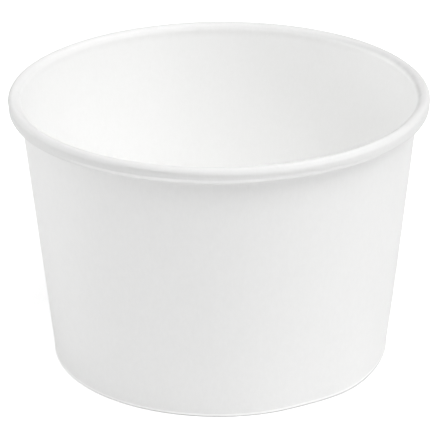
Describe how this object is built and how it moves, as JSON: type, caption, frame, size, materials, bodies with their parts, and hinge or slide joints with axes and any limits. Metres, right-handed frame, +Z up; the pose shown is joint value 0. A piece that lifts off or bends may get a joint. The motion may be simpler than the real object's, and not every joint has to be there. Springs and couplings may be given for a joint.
{
  "type": "paper sundae cup",
  "caption": "Plain white tapered paper tub for ice cream or soup, with a rolled rim and a recessed base.",
  "frame": {"origin": "centre of the bottom ring, on the surface that the cup stands on", "axes": "+Z up along the cup's axis, out of its mouth; the front is at -Y and the lap seam is near -X"},
  "size_m": [0.115, 0.115, 0.0757],
  "materials": {
    "wall_paper": "satin",
    "base_paper": "satin"
  },
  "bodies": {
    "root": {"side_wall": "wall_paper", "base_disc": "base_paper"}
  },
  "joints": []
}
